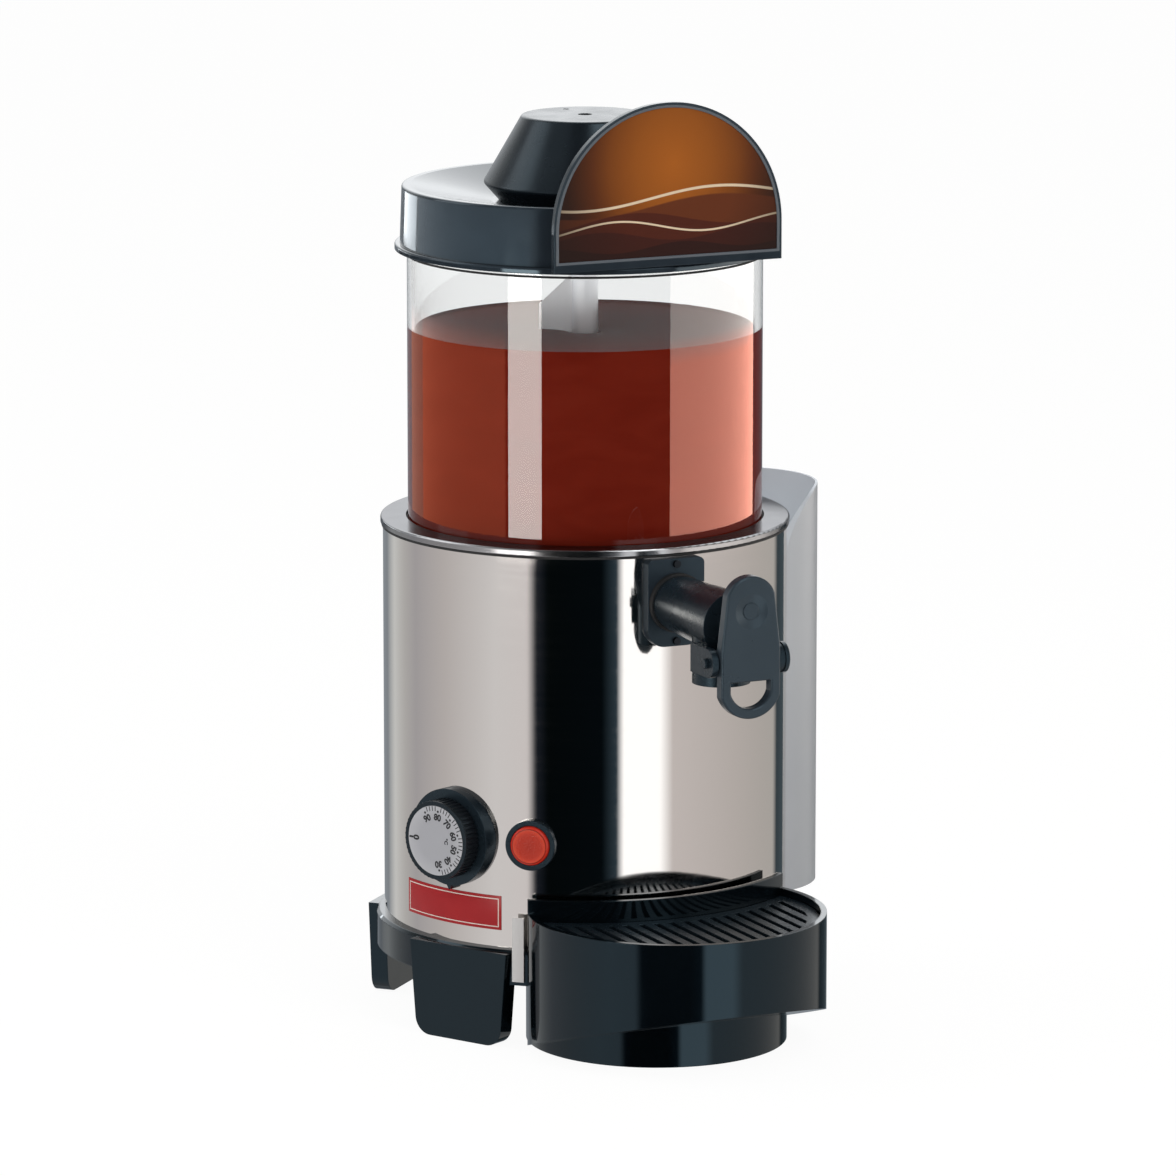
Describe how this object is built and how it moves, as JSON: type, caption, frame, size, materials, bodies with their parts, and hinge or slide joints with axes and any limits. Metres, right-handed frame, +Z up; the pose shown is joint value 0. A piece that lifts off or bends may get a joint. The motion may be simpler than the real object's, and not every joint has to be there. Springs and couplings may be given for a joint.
{
  "type": "hot drinks dispenser",
  "caption": "Round steel hot drinks dispenser: clear stirred tank over a water bath, lift-off lid with a sign, front lever tap, thermostat knob, lit push button and drip tray.",
  "frame": {"origin": "on the counter that the four legs stand on, under the middle of the whole machine's box; the body's upright axis is at x -4.07 mm, y 40.5 mm", "axes": "+Z up, -Y towards the tap and the drip tray, +X to the right seen from the front"},
  "size_m": [0.235, 0.293, 0.4623],
  "materials": {
    "black_plastic": "glossy black moulding",
    "grey_plastic": "dark grey moulding",
    "mirror_steel": "mirror-polished stainless steel",
    "steel": "satin stainless steel",
    "fastener_steel": "plain steel",
    "rubber": "black rubber",
    "clear_plastic": "clear polycarbonate",
    "grey_paint": "grey painted sheet",
    "motor_metal": "painted motor can",
    "gearbox_alloy": "cast alloy",
    "switch_plastic": "pale switch moulding",
    "brass": "copper alloy",
    "silver_dial": "satin silver disc",
    "red_lens": "translucent red cap",
    "sign_print": "brown printed panel"
  },
  "bodies": {
    "dispenser": {"base_moulding": "black_plastic", "floor_plate": "steel", "floor_screws": "fastener_steel", "body_shell": "mirror_steel", "jacket_screws": "fastener_steel", "top_ring": "mirror_steel", "ring_gasket": "rubber", "tank_seal": "rubber", "water_bath": "steel", "heating_element": "steel", "element_nuts": "fastener_steel", "centre_column": "steel", "column_nuts": "fastener_steel", "tank_washer": "rubber", "tank": "clear_plastic", "neck_seal": "rubber", "motor_bracket": "steel", "gearbox": "gearbox_alloy", "motor": "motor_metal", "shaft_bushes": "grey_plastic", "thermostat_body": "switch_plastic", "thermostat_bulb": "brass", "bulb_clip": "steel", "dial_bezel": "black_plastic", "switch_housing": "black_plastic", "switch_nut": "black_plastic", "filler_pocket": "grey_paint", "pocket_floor": "grey_paint", "filler_duct": "steel", "cord_gland": "black_plastic", "gland_nut": "black_plastic", "tap_bracket": "grey_plastic", "bracket_screws": "fastener_steel", "tap_gasket": "rubber", "tap_barrel": "black_plastic", "tap_spring": "steel", "pivot_pin": "steel", "tray_guides": "steel"},
    "stirrer": {"output_shaft": "steel", "shaft_coupling": "fastener_steel", "drive_shaft": "steel", "drive_cap": "grey_plastic", "stirrer": "steel"},
    "knob": {"knob": "black_plastic", "dial_face": "silver_dial", "thermostat_spindle": "steel"},
    "button": {"switch_button": "red_lens"},
    "lid": {"lid_shell": "black_plastic", "lid_hub": "black_plastic", "hub_screws": "fastener_steel", "sign_frame": "black_plastic", "sign_bezel": "grey_plastic", "sign_panel": "sign_print", "sign_screws": "fastener_steel"},
    "tap_lever": {"tap_lever": "black_plastic"},
    "tap_plunger": {"tap_plunger": "grey_plastic", "plunger_seal": "rubber"},
    "drip_tray": {"drip_tray": "black_plastic"},
    "drip_grid": {"drip_grid": "black_plastic"}
  },
  "joints": [
    {"name": "lid_lift", "type": "slide", "parent": "dispenser", "child": "lid", "axis": [0, 0, 1], "range_m": [0, 0.09]},
    {"name": "stirrer_spin", "type": "hinge", "parent": "dispenser", "child": "stirrer", "pos_m": [-0.00597, 0.0405, 0.3], "axis": [0, 0, 1], "continuous": true},
    {"name": "knob_turn", "type": "hinge", "parent": "dispenser", "child": "knob", "pos_m": [-0.10075, -0.00468, 0.101], "axis": [-0.9027, -0.4303, 0], "range_deg": [-207, 90]},
    {"name": "button_press", "type": "slide", "parent": "dispenser", "child": "button", "axis": [0.6427, 0.7661, 0], "range_m": [0, 0.0025], "stiffness_N_per_m": 600, "springref_m": -0.002},
    {"name": "lever_tip", "type": "hinge", "parent": "dispenser", "child": "tap_lever", "pos_m": [-0.00597, -0.1375, 0.2055], "axis": [-1, 0, 0], "range_deg": [0, 15], "stiffness_Nm_per_rad": 0.2, "springref_deg": -14.32},
    {"name": "plunger_slide", "type": "slide", "parent": "dispenser", "child": "tap_plunger", "axis": [0, 1, 0], "range_m": [0, 0.0041], "deforming": ["tap_spring"]},
    {"name": "tray_pull", "type": "slide", "parent": "dispenser", "child": "drip_tray", "axis": [0, -1, 0], "range_m": [0, 0.08]},
    {"name": "grid_lift", "type": "slide", "parent": "drip_tray", "child": "drip_grid", "axis": [0, 0, 1], "range_m": [0, 0.03]}
  ],
  "couplings": [
    {"joint": "plunger_slide", "follows": "lever_tip", "m_per_rad": 0.0155}
  ]
}
